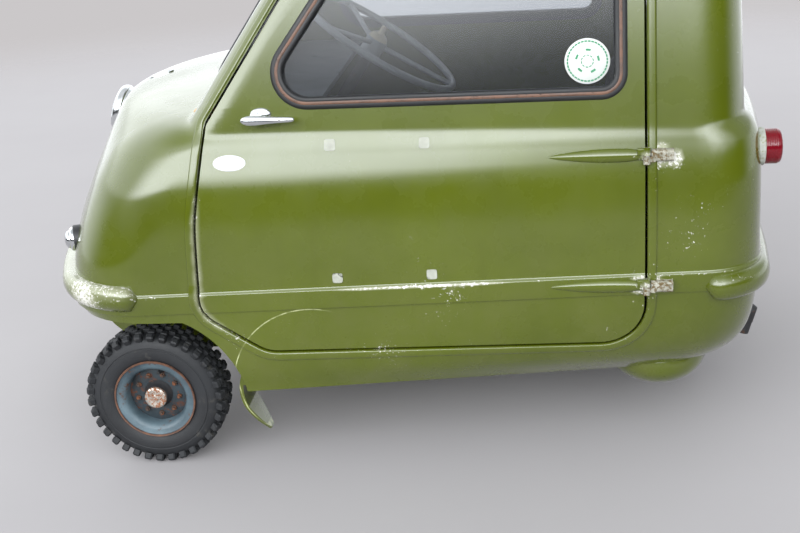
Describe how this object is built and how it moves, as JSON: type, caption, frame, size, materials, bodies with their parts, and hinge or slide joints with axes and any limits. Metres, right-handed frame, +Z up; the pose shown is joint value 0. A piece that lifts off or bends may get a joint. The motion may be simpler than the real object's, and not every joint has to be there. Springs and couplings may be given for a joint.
{
  "type": "three wheeled microcar",
  "caption": "One-seat three wheeled microcar with a moulded body, side door, two steered front wheels and a rear wheel in the tub.",
  "frame": {"origin": "on the floor under the middle of the car's length and width", "axes": "+X forward, +Y to the car's left where the door is, +Z up"},
  "size_m": [1.3908, 0.9872, 1.19],
  "materials": {
    "green_paint": "glossy olive green paint over moulded plastic, scratched and chipped to white",
    "black_rubber": "aged black rubber",
    "window_glass": "lightly scratched clear pane",
    "chrome": "worn chrome plate",
    "clear_lens": "fluted clear lens",
    "red_lens": "red translucent lens",
    "black_steel": "black painted steel with some rust",
    "tyre_rubber": "dusty block-tread rubber",
    "blue_wheel": "worn pale blue paint over steel with a rusty edge",
    "rusty_steel": "dark steel with rust",
    "grey_trim": "matt dark grey trim",
    "grey_wheel": "smooth grey rim",
    "black_vinyl": "black seat vinyl",
    "engine_alloy": "dull cast alloy"
  },
  "bodies": {
    "body": {"body_hinges": "chrome", "bumper_mouldings": "green_paint", "dash_shelf": "grey_trim", "engine_block": "engine_alloy", "floor_tub": "green_paint", "front_axle": "black_steel", "front_springs": "black_steel", "headlamp_lens": "clear_lens", "headlamp_rim": "chrome", "lifting_handle": "chrome", "mud_flaps": "green_paint", "nose_badge": "chrome", "nose_moulding": "green_paint", "pedals": "black_steel", "rear_cab_wall": "green_paint", "rear_fork": "black_steel", "rear_springs": "black_steel", "rear_wheel_fairing": "green_paint", "right_cab_side": "green_paint", "right_side_moulding": "green_paint", "roof_moulding": "green_paint", "seat_back": "black_vinyl", "seat_base": "grey_trim", "seat_cushion": "black_vinyl", "side_lamps": "chrome", "steering_column": "black_steel", "tail_lamps": "red_lens", "tail_moulding": "green_paint", "tail_pipe": "black_steel", "window_glass": "window_glass", "window_seals": "black_rubber", "windscreen_surround": "green_paint", "wiper": "chrome"},
    "door": {"door_panel": "green_paint", "door_window_seal": "black_rubber", "door_window_glass": "window_glass", "door_hinges": "green_paint", "door_handle": "chrome"},
    "left_knuckle": {"left_knuckle": "black_steel"},
    "right_knuckle": {"right_knuckle": "black_steel"},
    "steering_wheel": {"steering_wheel": "grey_wheel"},
    "left_wheel": {"left_tyre": "tyre_rubber", "left_rim": "blue_wheel", "left_hub": "rusty_steel"},
    "right_wheel": {"right_tyre": "tyre_rubber", "right_rim": "blue_wheel", "right_hub": "rusty_steel"},
    "rear_wheel": {"rear_tyre": "tyre_rubber", "rear_rim": "blue_wheel", "rear_hub": "rusty_steel"}
  },
  "joints": [
    {"name": "door_hinge", "type": "hinge", "parent": "body", "child": "door", "pos_m": [-0.444, 0.48, 0.354], "axis": [0, -0.0976, 0.9952], "range_deg": [0, 75]},
    {"name": "steering_wheel_turn", "type": "hinge", "parent": "body", "child": "steering_wheel", "pos_m": [0.05, 0, 0.711], "axis": [-0.5664, 0, 0.8241], "range_deg": [-88, 88]},
    {"name": "left_steer", "type": "hinge", "parent": "body", "child": "left_knuckle", "pos_m": [0.455, 0.34, 0.133], "axis": [0, 0, 1], "range_deg": [-22, 22]},
    {"name": "right_steer", "type": "hinge", "parent": "body", "child": "right_knuckle", "pos_m": [0.455, -0.34, 0.133], "axis": [0, 0, 1], "range_deg": [-22, 22]},
    {"name": "left_wheel_spin", "type": "hinge", "parent": "left_knuckle", "child": "left_wheel", "pos_m": [0.455, 0.409, 0.133], "axis": [0, 1, 0], "continuous": true},
    {"name": "right_wheel_spin", "type": "hinge", "parent": "right_knuckle", "child": "right_wheel", "pos_m": [0.455, -0.409, 0.133], "axis": [0, 1, 0], "continuous": true},
    {"name": "rear_wheel_spin", "type": "hinge", "parent": "body", "child": "rear_wheel", "pos_m": [-0.49, 0, 0.133], "axis": [0, 1, 0], "continuous": true}
  ],
  "couplings": [
    {"joint": "left_steer", "follows": "steering_wheel_turn", "ratio": 0.25},
    {"joint": "right_steer", "follows": "steering_wheel_turn", "ratio": 0.25}
  ]
}
